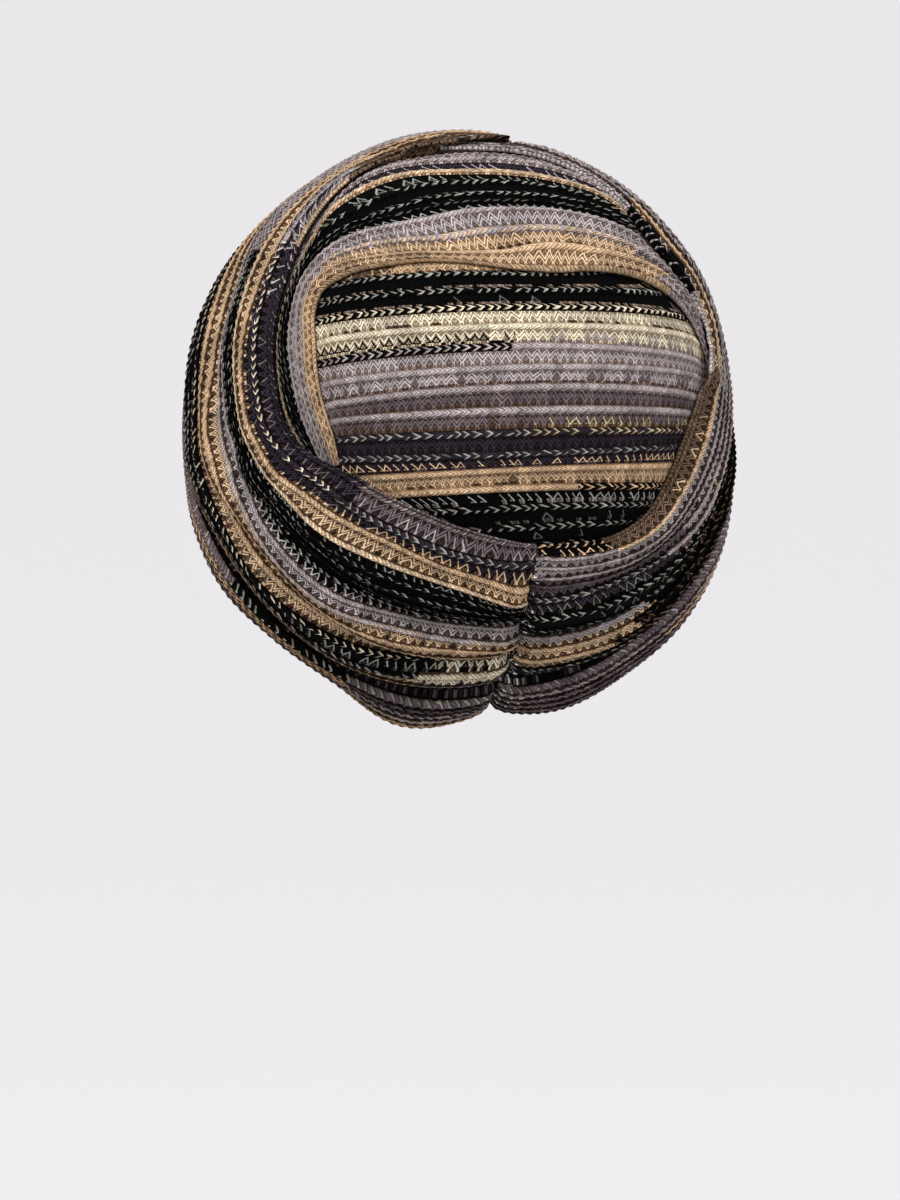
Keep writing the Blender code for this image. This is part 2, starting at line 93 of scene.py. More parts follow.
FOLD = (   # turn, inner edge, tan cord, grey cord, cream cord, border under the wraps, crest in mm
    (109, 41.0, 42.1, 44.6, 46.6, 48.6, -2.2),
    (103, 40.4, 41.5, 44.8, 48.0, 50.0, -0.6),
    (91, 41.6, 42.8, 46.4, 52.0, 54.0, 1.4),
    (82, 43.2, 44.4, 48.0, 54.0, 56.0, 2.2),
    (73, 45.0, 46.2, 50.2, 56.0, 58.0, 2.4),
    (64, 47.6, 48.9, 52.0, 57.6, 59.6, 2.2),
    (58, 48.0, 49.6, 53.1, 58.4, 60.4, 1.8),
    (52, 44.5, 47.6, 53.0, 59.2, 61.6, 1.4),
    (44, 38.0, 41.5, 51.6, 60.6, 64.0, 1.0),
    (34, 32.0, 35.8, 46.6, 60.8, 68.5, 0.6),
    (22, 26.8, 30.7, 41.6, 58.0, 71.5, 0.4),
    (10, 23.8, 27.5, 38.5, 52.4, 68.0, 0.3),
    (-4, 22.6, 26.2, 36.8, 50.2, 66.5, 0.3),
    (-18, 23.4, 27.0, 38.0, 50.4, 65.5, 0.4),
    (-30, 26.4, 29.8, 41.2, 51.6, 60.0, 0.7),
    (-42, 31.0, 34.4, 44.0, 48.0, 49.6, 1.0),
    (-54, 37.2, 40.0, 45.4, 48.4, 49.6, 1.4),
    (-66, 43.2, 44.6, 46.8, 48.4, 49.6, 0.4),
    (-75, 46.0, 46.7, 47.8, 48.8, 50.0, -1.9),
    (-84, 47.0, 47.7, 48.8, 49.8, 51.0, -2.2),
)
LEFT = (   # turn, inner edge, outer edge over the hem band, height in mm, edge roll in mm
    (180, 29.3, 69.0, -2.0, 2.5),
    (165, 28.8, 73.5, 1.0, 3.0),
    (150, 29.6, 79.0, 2.0, 3.2),
    (135, 31.8, 83.0, 2.2, 3.4),
    (120, 36.2, 85.0, 3.2, 3.6),
    (111, 40.0, 89.0, 3.2, 3.4),
    (104, 45.2, 95.0, 2.8, 3.0),
    (97, 50.0, 100.0, 2.2, 2.6),
    (86, 53.2, 103.5, 0.6, 2.2),
    (72, 56.4, 107.5, 0.6, 2.0),
    (56, 59.8, 111.5, 0.0, 2.0),
    (40, 65.0, 115.0, -1.4, 2.6),
    (28, 68.5, 117.5, -1.6, 3.2),
    (16, 67.4, 119.5, 0.2, 3.6),
    (8, 66.8, 120.5, 1.6, 4.0),
    (0, 66.8, 121.0, 2.2, 4.2),
    (-12, 66.8, 120.0, 2.2, 4.0),
    (-24, 66.8, 118.0, 2.0, 4.0),
    (-36, 66.8, 115.5, 2.4, 4.0),
)
RIGHT = (  # turn, inner edge, outer edge over the hem band, height in mm, edge roll in mm
    (-180, 29.3, 66.0, -2.0, 2.5),
    (-166, 30.0, 63.5, 1.4, 4.0),
    (-150, 32.4, 62.0, 3.0, 5.5),
    (-136, 33.8, 60.5, 3.4, 6.0),
    (-122, 33.6, 62.5, 2.8, 6.5),
    (-108, 34.4, 68.5, 1.2, 6.5),
    (-96, 37.4, 79.0, -0.6, 6.0),
    (-84, 42.6, 91.0, -0.8, 5.0),
    (-72, 47.6, 100.0, 0.6, 4.0),
    (-60, 48.2, 106.5, 1.8, 3.2),
    (-48, 47.6, 111.5, 1.6, 2.8),
    (-36, 54.0, 115.5, 1.6, 2.6),
    (-24, 62.6, 118.0, 1.2, 2.6),
    (-12, 65.4, 120.0, 1.2, 2.6),
    (0, 66.0, 121.0, 0.6, 2.4),
    (16, 74.0, 121.0, 0.4, 2.4),
)
BOW_AT = (0.09, 0.40, 0.86)
PANEL_BOW = (  # course, courses that it lies below its level place at each BOW_AT along the panel
    (-1.3, 0.0, 0.2, -0.6),
    (0, -0.15, 0.31, -0.79),
    (1, -0.07, 0.35, -0.65),
    (2, -0.07, 0.28, -0.57),
    (3, 0.10, 0.28, -0.36),
    (4, 0.20, 0.25, 0.0),
    (5, 0.30, 0.28, 0.0),
    (6, 0.35, 0.20, 0.20),
    (7, 0.20, 0.25, 0.28),
    (8, 0.14, 0.25, 0.35),
    (9, 0.14, 0.25, 0.28),
    (10, 0.14, 0.0, 0.28),
    (11, 0.0, -0.17, 0.35),
    (12, 0.0, -0.2, 0.3),
    (15, 0.0, 0.0, 0.0),
)
YARNS = {  # linear colours of the space-dyed yarn
    "black": (0.0024, 0.0022, 0.0026),
    "navy": (0.030, 0.023, 0.034),
    "mauve": (0.150, 0.120, 0.130),
    "grey": (0.430, 0.390, 0.400),
    "tan": (0.640, 0.460, 0.290),
    "gold": (0.480, 0.400, 0.240),
    "brown": (0.150, 0.100, 0.068),
    "cream": (0.780, 0.715, 0.540),
    "pale": (0.420, 0.340, 0.280),
    "fleck": (0.340, 0.355, 0.320),
    "ash": (0.150, 0.155, 0.145),
}
STEPS = np.array([-0.2, -0.16, -0.1, -0.03, 0.04, 0.1, 0.16, 0.2, 0.3, 0.42, 0.55, 0.66])  # rows in a course


def column(table, n):
    """Column n of a table of rows."""
    return np.array([row[n] for row in table], float)


def eased(turn, table, n):
    """Column n read at a turn: cubic pieces through the rows, slopes from the neighbouring rows."""
    x, y = column(table, 0), column(table, n)
    if x[0] > x[-1]:
        x, y = x[::-1], y[::-1]
    slope = np.gradient(y, x)
    turn = np.clip(turn, x[0], x[-1])
    k = np.clip(np.searchsorted(x, turn, side="right") - 1, 0, len(x) - 2)
    width = x[k + 1] - x[k]
    s = (turn - x[k]) / width
    return ((2 * s ** 3 - 3 * s ** 2 + 1) * y[k] + (s ** 3 - 2 * s ** 2 + s) * width * slope[k]
            + (3 * s ** 2 - 2 * s ** 3) * y[k + 1] + (s ** 3 - s ** 2) * width * slope[k + 1])


def ramp(x, low, high):
    """0 below low, 1 above high, eased between by 3s^2 - 2s^3; low may be the greater one."""
    s = np.clip((x - low) / (high - low), 0.0, 1.0)
    return s * s * (3 - 2 * s)


def spots(turn, reach, level):
    """Points at a turn and reach round the crown's middle: direction times (round body's radius + level)."""
    a, b = np.radians(turn), np.radians(reach)
    rise = np.sin(b) * np.cos(a)
    dx = np.sin(b) * np.sin(a)
    dy = np.cos(b) * math.cos(POLE_TILT) - rise * math.sin(POLE_TILT)
    dz = np.cos(b) * math.sin(POLE_TILT) + rise * math.cos(POLE_TILT)
    body = (np.abs(dx / HALF_X) ** SQUARENESS + np.abs(dy / HALF_Y) ** SQUARENESS
            + np.abs(dz / HALF_Z) ** SQUARENESS) ** (-1 / SQUARENESS)
    return np.stack([dx, dy, dz], axis=-1) * (body + level)[..., None]


def panel_border(turn):
    """Reach at which the crown panel goes under the nearest piece: the least of their inner edges there."""
    wraps = np.minimum(np.where(turn > 100, eased(turn, LEFT, 1), 999.0),
                       np.where(turn < -76, eased(turn, RIGHT, 1), 999.0))
    return np.minimum(wraps, np.where((turn > -84) & (turn < 109), eased(turn, FOLD, 1), 999.0))


def cords(rows):
    """Height of the knit over its zigzag: a half round of CORD within HALF_CORD of each whole course
    number, and a dip of a quarter of it halfway to the next."""
    off = np.abs(rows - np.round(rows))
    round_top = np.sqrt(np.clip(1 - (off / HALF_CORD) ** 2, 0.0, 1.0))
    return CORD * (round_top - 0.25 * ramp(off, HALF_CORD, 2 * HALF_CORD))


def course_rows(first, last):
    """Course numbers of the grid's rows from first to last, each course cut at the same STEPS."""
    rows = (np.arange(math.floor(first), math.ceil(last) + 1)[:, None] + STEPS).ravel()
    return np.concatenate([[first], rows[(rows > first + 0.01) & (rows < last - 0.01)], [last]])


def drawn(stations, rows, table, last):
    """Places of the rows across the piece at each station: a row of the table gives a station and the
    places of courses 1, 2, 3 and so on there; straight between courses, 0 and last at the edges."""
    places = [eased(stations, table, n) for n in range(1, len(table[0]))]
    places = np.stack([np.zeros(len(stations)), *places, np.full(len(stations), last)], axis=1)
    k = np.clip(np.floor(rows).astype(int), 0, places.shape[1] - 2)
    return places[:, k] + (rows - k) * (places[:, k + 1] - places[:, k])


def knit(name, rings, faced, rows, stations, chart):
    """A closed piece of knit from rings of points on a grid: ring i at station i, point j, the first `faced`
    of each ring outside. rows gives each point's course number; a face's stitch number is the length along
    the middle of its course over STITCH; chart gives the yarns for course, part and station. Cords are
    beaded once a stitch: outwards by BEAD x cos(2 pi stitch) x (1 - (offset / HALF_CORD)^2)."""
    count, length = rings.shape[:2]
    i, j = np.meshgrid(np.arange(count - 1), np.arange(length), indexing="ij")
    k = (j + 1) % length
    walls = np.stack([i * length + j, i * length + k, (i + 1) * length + k, (i + 1) * length + j], axis=-1)
    middle = (rows + np.roll(rows, -1)) / 2
    course = np.floor(middle + HALF_CORD)
    along = np.abs(rows[None, :faced] - (course[:, None] + 0.3)).argmin(axis=1)
    stride = np.linalg.norm(np.diff(rings[:, along], axis=0), axis=-1)
    stitch = np.concatenate([np.zeros((1, length)), np.cumsum(stride, axis=0)]) / STITCH
    bead = np.clip(1 - ((rows - np.round(rows)) / HALF_CORD) ** 2, 0, 1) * (np.arange(length) < faced) * BEAD
    rings = rings * (1 + np.cos(2 * np.pi * stitch) * bead / np.linalg.norm(rings, axis=-1))[..., None]
    u = np.stack([stitch[i, j], stitch[i, j], stitch[i + 1, j], stitch[i + 1, j]], axis=-1)
    v = np.stack([rows[j], rows[k], rows[k], rows[j]], axis=-1)
    walls_end, caps_at = 0.97, 0.985    # shares of the baked picture's width
    bake_u = np.stack([i, i, i + 1, i + 1], axis=-1) / (count - 1) * walls_end
    bake_v = np.stack([j, j + 1, j + 1, j], axis=-1) / length
    outer, inner = np.arange(faced), np.arange(length - 1, faced - 1, -1)
    step = np.arange(faced - 1) * (len(inner) - 1) // (faced - 1)
    turn_in = np.minimum(np.searchsorted(step, np.arange(1, len(inner))), faced - 1)
    cap = np.concatenate([np.stack([outer[:-1], outer[1:], inner[step]], axis=-1),
                          np.stack([outer[turn_in], inner[1:], inner[:-1]], axis=-1)])
    caps = np.concatenate([cap[:, ::-1], cap + (count - 1) * length])
    verts = rings.reshape(-1, 3)
    loops = np.concatenate([walls.reshape(-1), caps.reshape(-1)])
    sizes = np.concatenate([np.full(walls.size // 4, 4), np.full(len(caps), 3)])
    mesh = bpy.data.meshes.new(name)
    mesh.vertices.add(len(verts))
    mesh.vertices.foreach_set("co", verts.ravel())
    mesh.loops.add(len(loops))
    mesh.loops.foreach_set("vertex_index", loops)
    mesh.polygons.add(len(sizes))
    mesh.polygons.foreach_set("loop_start", np.concatenate([[0], np.cumsum(sizes)[:-1]]))
    mesh.polygons.foreach_set("loop_total", sizes)
    mesh.update(calc_edges=True)
    cap_rows = np.tile(rows, count)[caps.reshape(-1)]
    knit_uv = np.concatenate([np.stack([u, v], axis=-1).reshape(-1, 2),
                              np.stack([np.zeros(len(cap_rows)), cap_rows], axis=-1)])
    bake_uv = np.concatenate([np.stack([bake_u, bake_v], axis=-1).reshape(-1, 2),
                              np.stack([np.full(len(cap_rows), caps_at), cap_rows * 0.01 + 0.3], axis=-1)])
    mesh.uv_layers.new(name="OFBake").data.foreach_set("uv", bake_uv.ravel())
    mesh.uv_layers.new(name="knit").data.foreach_set("uv", knit_uv.ravel())
    offset = middle - course
    part = np.where(offset < HALF_CORD, 0, np.where(offset < LEGS_START, 1, 2))
    yarn, ply = chart(*np.broadcast_arrays(course[None, :], part[None, :], stations[:, None]))
    for layer, colours in (("yarn", yarn), ("ply", ply)):
        corners = np.stack([colours[i, j], colours[i, j], colours[i + 1, j], colours[i + 1, j]], axis=2)
        ends = np.repeat(colours[[0, -1]][:, 0], len(cap) * 3, axis=0)
        mesh.color_attributes.new(layer, "FLOAT_COLOR", "CORNER").data.foreach_set(
            "color", np.concatenate([corners.reshape(-1, 4), ends]).ravel().astype(np.float32))
    if signed_volume(verts, walls.reshape(-1, 4)) < 0:
        mesh.flip_normals()
    mesh.shade_smooth()
    mesh.materials.append(knit_material())
    thing = bpy.data.objects.new(name, mesh)
    scene.collection.objects.link(thing)
    return thing


def signed_volume(verts, quads):
    """Six times the volume within the quads: the sum of a . (b x c) over their two triangles."""
    a, b, c, d = (verts[quads[:, n]] for n in range(4))
    return float((a * np.cross(b, c)).sum() + (a * np.cross(c, d)).sum())


def charted(table, backing_and_gap_shade):
    """A chart from rows of (course, from station, to station, cord, zigzag, legs), the last three a main
    yarn, a second one and its share; a later row goes over an earlier one, and each part changes a little
    later than the last. backing_and_gap_shade is how light the gaps between the strands are kept: partly
    for what lies behind them, partly painted shade in the gaps."""
    lag = 0.008    # share of the stations' whole range

    def chart(course, part, station):
        course = np.clip(course, min(table)[0], max(table)[0])
        # The fourth channel carries the gap level: partly what lies behind the strands, partly painted shade.
        yarn = np.full(course.shape + (4,), backing_and_gap_shade)
        ply = np.ones(course.shape + (4,))
        for number, start, end, *parts in table:
            for p, words in enumerate(parts):
                main, second, amount = words.split()
                late = p * lag * np.ptp(station)
                here = (course == number) & (part == p) & (station >= start + late) & (station <= end + late)
                yarn[here, :3] = YARNS[main]
                ply[here] = (*YARNS[second], float(amount))
        return yarn, ply
    return chart


class Maths:
    """A value in a material's node tree: its operators add the node that works out the result."""

    def __init__(self, tree, socket=None):
        self.tree, self.socket = tree, socket

    def node(self, kind, settings, sockets, out=0):
        """A node of one kind with its settings and its inputs, linked or set; one of its outputs."""
        node = self.tree.nodes.new(kind)
        for name, value in settings.items():
            setattr(node, name, value)
        for name, value in sockets.items():
            if isinstance(value, Maths):
                self.tree.links.new(value.socket, node.inputs[name])
            else:
                node.inputs[name].default_value = value
        return Maths(self.tree, node.outputs[out])

    def maths(self, operation, *values):
        return self.node("ShaderNodeMath", {"operation": operation}, dict(enumerate(values)))

    def mix(self, first, second):
        """Colour between the first and the second by this share."""
        return self.node("ShaderNodeMix", {"data_type": "RGBA"}, {0: self, 6: first, 7: second}, out=2)

    def __add__(self, other):
        return self.maths("ADD", self, other)

    def __sub__(self, other):
        return self.maths("SUBTRACT", self, other)

    def __rsub__(self, other):
        return self.maths("SUBTRACT", other, self)

    def __mul__(self, other):
        return self.maths("MULTIPLY", self, other)

    def __truediv__(self, other):
        return self.maths("DIVIDE", self, other)

    def __lt__(self, other):
        return self.maths("LESS_THAN", self, other)

    def __gt__(self, other):
        return self.maths("GREATER_THAN", self, other)

    def __abs__(self):
        return self.maths("ABSOLUTE", self)

    __radd__, __rmul__ = __add__, __mul__

    def floor(self):
        return self.maths("FLOOR", self)

    def greatest(self, other):
        return self.maths("MAXIMUM", self, other)

    def rounded(self):
        """Half round over -1 to 1: the square root of 1 - x^2, 0 outside."""
        inside = (1 - self * self).greatest(0.0)
        return inside.maths("SQRT", inside)


def knit_material():
    """Knit of cords, zigzags and legs. With f the place within a course (its cord at 0, the next at 1) and
    s the place within a stitch: a cord of chevrons within half_cord of 0, two strands either side of
    f = foot + swing |s - 0.5|, two more behind them half a stitch on, and two legs a stitch from legs_start.
    A strand is a half round, and the second yarn comes a stitch at a time by chance. Painted shade and light
    by the strands' height: the gaps between strands are darkened to the gap level and tinted warm, partly for
    what lies behind them and partly as painted shade, and strand tops are brightened. Noise wavers the rows
    and stitches and speckles the fibre."""
    if "knit" in bpy.data.materials:
        return bpy.data.materials["knit"]
    material = bpy.data.materials.new("knit")
    material.use_nodes = True
    tree = material.node_tree
    shader = tree.nodes["Principled BSDF"]
    start = Maths(tree)
    uv = start.node("ShaderNodeUVMap", {"uv_map": "knit"}, {})
    u, v = (start.node("ShaderNodeSeparateXYZ", {}, {0: uv}, out=n) for n in (0, 1))
    # The yarn colour's fourth channel is the gap level: partly what lies behind, partly painted shade.
    yarn, backing_and_gap_shade = (start.node("ShaderNodeVertexColor", {"layer_name": "yarn"}, {}, out=n) for n in (0, 1))
    ply, amount = (start.node("ShaderNodeVertexColor", {"layer_name": "ply"}, {}, out=n) for n in (0, 1))
    place = start.node("ShaderNodeTexCoord", {}, {}, out=3)

    def spot(x, y):
        return start.node("ShaderNodeCombineXYZ", {}, {0: x, 1: y})

    def chance(x, y):
        return start.node("ShaderNodeTexWhiteNoise", {"noise_dimensions": "2D"}, {"Vector": spot(x, y)})

    def cloud(vector, scale, detail):
        return start.node("ShaderNodeTexNoise", {}, {"Vector": vector, "Scale": scale, "Detail": detail})

    half_cord, foot, legs_start = 0.165, 0.24, 0.3
    row = (v + HALF_CORD).floor()
    along = u + (cloud(spot(u * 0.4, row * 7.3), 1.0, 1.0) - 0.5) * 1.2
    f = v - row + (cloud(spot(u * 1.3, row * 3.1), 1.0, 2.0) - 0.5) * 0.15
    stitch = along.floor()
    s = along - stitch
    dice = chance(stitch, row)
    q = abs(f) / half_cord
    cord = q < 1.0
    twist = along + q * 0.6
    turned = twist.floor()
    t = twist - turned
    bead = t * 2 - (t * 2).floor()
    bead = 1 - (bead * 2 - 1) * (bead * 2 - 1)
    luck = chance(turned, row + 0.5 + 0.2 * (f > 0))
    second_cord = (abs(t - 0.55 - 0.2 * luck) < amount * 0.2 - 0.04 + 0.08 * luck) * (luck < amount)

    off_middle = abs(s - 0.5)
    swing, scale = 0.88 - backing_and_gap_shade, 3.35 + backing_and_gap_shade * 4
    drop = (f - foot - off_middle * swing) * scale
    front = ((abs(drop) - 0.42) / 0.31).rounded()
    behind = ((abs((f - foot - (0.5 - off_middle) * swing) * scale) - 0.42) / 0.26).rounded()
    legs = ((off_middle * 2 - 0.72) / 0.17).rounded() * (f > legs_start)
    low = f > 0.6
    stitches = front.greatest(behind * backing_and_gap_shade * 1.6).greatest(legs * (0.3 + 0.4 * low))
    side = (s > 0.45).greatest(chance(stitch, row + 0.3) < 0.4)
    second_stitch = side * (dice < amount) * ((drop > 0) * (front > 0.1) + low)

    height = cord * (0.3 + 0.75 * bead) * q.rounded() + (1 - cord) * stitches * 1.2
    second = cord * second_cord + (1 - cord) * second_stitch
    fibre = cloud(place, 1500.0, 3.0)
    # Painted shade and light: darker in the gaps and at cord edges, lighter on strand tops, by the height;
    # then random tone per stitch and fibre speckle.
    shade = (backing_and_gap_shade + (1.27 - backing_and_gap_shade * 2) * height) * (0.75 + 0.50 * dice) * (0.5 + 1.0 * fibre)
    # Painted shade tint: the gaps between strands are tinted warm, strand tops keep the yarn colour.
    gap_shade_tint = height.mix((1.15, 0.90, 0.76, 1.0), (1.0, 1.0, 1.0, 1.0))
    colour = start.node("ShaderNodeVectorMath", {"operation": "MULTIPLY"},
                        {0: second.mix(yarn, ply), 1: gap_shade_tint})
    shaded = start.node("ShaderNodeVectorMath", {"operation": "SCALE"}, {0: colour, "Scale": shade})
    tree.links.new(shaded.socket, shader.inputs["Base Color"])
    relief = cord * (0.6 + 0.4 * bead) + (1 - cord) * stitches * 0.8 + fibre * 0.15
    bump = start.node("ShaderNodeBump", {}, {"Height": relief, "Distance": 1 * MM, "Strength": 0.9})
    tree.links.new(bump.socket, shader.inputs["Normal"])
    shader.inputs["Roughness"].default_value = 0.95
    shader.inputs["Specular IOR Level"].default_value = 0.05
    return material


PANEL_CHART = (
    (-2, 0, 1, "tan tan 0", "tan tan 0", "tan brown .5"),
    (-1, 0, 1, "tan tan 0", "tan tan 0", "tan brown .5"),
    (-1, 0, 0.25, "tan brown .4", "brown tan .6", "brown tan .4"),
    (0, 0, 1, "black fleck .95", "black black 0", "black pale .8"),
    (1, 0, 1, "black fleck .85", "black ash .1", "black pale .8"),
    (2, 0, 1, "black cream 1", "cream cream 0", "cream brown .4"),
    (3, 0, 0.45, "cream cream 0", "cream black .95", "black cream .95"),
    (3, 0.45, 1, "cream cream 0", "cream grey .6", "grey cream .4"),
    (4, 0, 0.45, "black grey .95", "grey grey 0", "grey pale .5"),
    (4, 0.45, 1, "grey grey 0", "grey grey 0", "grey pale .5"),
    (5, 0, 1, "grey grey 0", "grey mauve .3", "mauve pale .5"),
    (6, 0, 1, "grey mauve .3", "mauve mauve 0", "mauve brown .4"),
    (7, 0, 0.5, "grey mauve .5", "mauve brown .3", "brown mauve .3"),
    (7, 0.5, 1, "grey mauve .4", "mauve gold .8", "brown gold .5"),
    (8, 0, 0.5, "navy fleck .9", "navy navy 0", "navy navy 0"),
    (8, 0.5, 1, "navy gold .95", "navy navy 0", "navy navy 0"),
    (9, 0, 1, "navy fleck .8", "navy tan .95", "navy mauve .4"),
    (10, 0, 1, "tan tan 0", "tan brown .1", "tan brown .4"),
    (11, 0, 0.62, "tan cream .5", "black fleck .9", "black fleck .7"),
    (11, 0.62, 1, "black tan .95", "black fleck .9", "black fleck .7"),
    (12, 0, 1, "black fleck .9", "black ash .2", "black ash .4"),
    (13, 0, 1, "black fleck .85", "black ash .2", "black black 0"),
    (14, 0, 1, "black fleck .7", "black ash .3", "black black 0"),
)


def panel_rings(count):
    """Grid of the crown panel: rows y = height + 0.075 x (height + 4) / 27 across a flat chart of degrees,
    each bowed by the parabola through its three places in PANEL_BOW, read as turn and reach, domed by
    1 - (reach / border)^6 and ribbed by the cords. Every row runs from its left end to its right."""
    rows = course_rows((PANEL_CORD - 28.0) / PANEL_PITCH, (PANEL_CORD + 33.5) / PANEL_PITCH)
    back = np.linspace(rows[-1], rows[0], 22)
    all_rows = np.concatenate([rows, back])
    stations = np.linspace(0, 1, count)
    level_rows, along = np.meshgrid(all_rows, stations, indexing="xy")
    at_left, at_middle, at_right = (eased(level_rows, PANEL_BOW, n) for n in (1, 2, 3))
    a, b, c = BOW_AT
    bow = (at_left * (along - b) * (along - c) / ((a - b) * (a - c))
           + at_middle * (along - a) * (along - c) / ((b - a) * (b - c))
           + at_right * (along - a) * (along - b) / ((c - a) * (c - b)))
    height = PANEL_CORD - PANEL_PITCH * (level_rows + bow)
    left, right = eased(height, PANEL, 1), eased(height, PANEL, 2)
    x = left + along * (right - left)
    y = height + 0.075 * x * (height + 4) / 27
    turn, reach = np.degrees(np.arctan2(x, y)), np.hypot(x, y)
    reach = np.minimum(reach, panel_border(turn) + TUCK)
    dome = 1 - np.clip(reach / (panel_border(turn) - 0.5), 0.0, 1.0) ** 6
    level = PANEL_DROP + PANEL_DOME * dome + cords(all_rows) * np.clip(dome * 3, 0, 1)
    level = np.where(np.arange(height.shape[1]) < len(rows), level, PANEL_DROP - PANEL_WALL)
    return spots(turn, reach, level), len(rows), all_rows, stations


crown_panel = knit("crown_panel_knit", *panel_rings(400), charted(PANEL_CHART, 0.22))
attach(crown_panel, "root")
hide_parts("crown_panel")

# Crown fold
# The same knit folded back over the top of the crown and down both sides of the panel.
# Its inner edge is a rolled fold, its border runs under the wraps.
FOLD_CORDS = (  # turn, then where courses 1 to 6 run there, in level courses
    (-84, 1.0, 2.0, 3.0, 4.0, 5.0, 6.0),
    (-60, 1.2, 2.1, 3.1, 4.0, 5.0, 6.0),
    (-31, 1.25, 2.1, 3.0, 3.8, 4.6, 5.8),
    (-14, 1.4, 2.2, 3.3, 4.0, 4.7, 5.9),
    (12, 0.7, 1.8, 2.9, 3.6, 4.3, 5.7),
    (30, 0.35, 1.4, 2.5, 3.15, 3.75, 5.2),
    (39, 0.45, 1.6, 2.6, 3.2, 3.75, 5.3),
    (52, 0.9, 2.0, 2.9, 3.7, 4.5, 5.7),
    (70, 1.0, 2.0, 3.0, 4.0, 5.0, 6.0),
    (109, 1.0, 2.0, 3.0, 4.0, 5.0, 6.0),
)
FOLD_CHART = (
    (-10, -84, 109, "grey navy .3", "grey navy .3", "grey navy .3"),
    (-9, -84, 109, "grey navy .3", "grey navy .3", "grey navy .3"),
    (-8, -84, 109, "grey navy .5", "navy grey .5", "grey tan .3"),
    (-7, -84, 109, "tan cream .7", "black fleck .7", "black fleck .3"),
    (-6, -84, 109, "black fleck .85", "black ash .1", "black ash .3"),
    (-5, -84, 109, "black fleck .85", "black ash .2", "black pale .4"),
    (-4, -84, 109, "black ash .8", "black fleck .95", "black pale .8"),
    (-3, -84, 109, "grey grey 0", "grey grey 0", "grey pale .2"),
    (-3, -84, -50, "grey grey 0", "mauve grey .6", "mauve black .5"),
    (-2, -84, 52, "grey tan .95", "tan tan 0", "tan brown .4"),
    (-2, 52, 109, "grey tan .5", "grey tan .5", "tan brown .4"),
    (-2, -84, -44, "grey mauve .3", "mauve tan .8", "mauve tan .5"),
    (-1, -84, 109, "tan tan 0", "tan tan 0", "tan brown .3"),
    (-1, -84, -54, "grey mauve .3", "grey mauve .4", "mauve grey .5"),
    (0, -84, 109, "tan tan 0", "tan tan 0", "tan tan 0"),
    (0, -84, -58, "grey grey 0", "grey mauve .3", "grey mauve .3"),
)


def fold_top(turn, reach):
    """Outer level of the fold: a rounded inner edge, a crest, and a slope down under the wraps."""
    inner, border = eased(turn, FOLD, 1), eased(turn, FOLD, 5)
    crest = eased(turn, FOLD, 6) * MM
    lip = PANEL_DROP + GAP + LIP
    edge = 1 - np.clip((reach - inner) / 1.6, 0.0, 1.0)
    body = lip + (crest - lip) * np.sqrt(1 - edge ** 2)
    slope = np.minimum(7.0, 0.6 * (border - inner))
    return body + (PANEL_DROP - body) * ramp(reach, border - slope, border - 0.5)


def fold_rings(turns):
    """Grid of the fold: rows at course numbers 0 on the inner edge to 7 on the cream cord and on to the
    hidden border, reach read from the table's cords, level fold_top plus cords; then the flat inner side."""
    numbers = -course_rows(-7.0, 0.0)[::-1]
    beyond = np.linspace(0.0, 1.0, 36)[1:]
    back = np.linspace(0.85, 0.0, 6)
    over_panel = np.array([TUCK + 4.0, TUCK + 1.0, 3.0, 0.05])
    count = len(numbers) + len(beyond) + len(back) + len(over_panel)
    turn = np.repeat(turns[:, None], count, axis=1)
    inner, tan, grey, cream, border = (eased(turns, FOLD, n)[:, None] for n in (1, 2, 3, 4, 5))
    rim = border + FOLD_TUCK
    place = drawn(turns, numbers, FOLD_CORDS, 7.0)
    first = np.where(place < 1, inner + place * (tan - inner),
            np.where(place < 3, tan + (place - 1) / 2 * (grey - tan),
                     grey + (place - 3) / 4 * (cream - grey)))
    low = np.minimum(inner + TUCK + 4.5, rim - 0.6)
    reach = np.concatenate([first, cream + beyond * (rim - cream), low + back * (rim - 0.3 - low),
                            np.minimum(inner + over_panel, rim - 0.9)], axis=1)
    rows = -np.concatenate([numbers, 7 + beyond * 3.0, np.linspace(9.8, 0.2, len(back) + len(over_panel))])
    seen = ramp(reach, inner, inner + 1) * ramp(reach, border - 0.5, border - 3.0)
    top = fold_top(turn, reach) + cords(rows) * seen
    lift = 1 - ramp(reach, inner + TUCK + 1.0, inner + TUCK + 4.0)
    foot = -7.0 * MM + (PANEL_DROP + GAP + 7.0 * MM) * lift
    faced = len(numbers) + len(beyond)
    level = np.where(np.arange(count) < faced, top, foot)
    return spots(turn, reach, level), faced, rows, turns


crown_fold = knit("crown_fold_knit", *fold_rings(np.linspace(109, -84, 480)), charted(FOLD_CHART, 0.15))
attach(crown_fold, "root")
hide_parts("crown_fold")

# Left wrap
# Folded knit from the nape seam up the wearer's left side and over the top to the front crease.
# It is gathered into the seam in soft pleats and lies over the fold and the hem band.
UNDER = -6.0 * MM                 # level of the hem band where the wraps lie over it
CREASE_TUCK, CREASE_DROP = 7.0, -4.0 * MM    # how far the right wrap goes under the left, and its level
FRONT = 60.0                      # turn from which the stations are drawn to the slanting crease
CLEAR_BAND, CLEAR_RIM = 9.5, 10.0       # degrees from its edges where a wrap's inner side clears the rest
SEAM_SIDE = 0.1 * MM              # from the seam's middle to each side of it
PLEATS_LEFT = (   # share across, height in mm, half width across, fades out at this turn
    (0.10, 1.2, 0.070, 60),
    (0.30, 2.6, 0.085, 80),
    (0.44, -2.2, 0.060, 90),
    (0.57, 3.0, 0.075, 95),
    (0.69, -2.4, 0.055, 100),
    (0.82, 2.2, 0.080, 110),
    (0.93, -1.2, 0.050, 110),
)
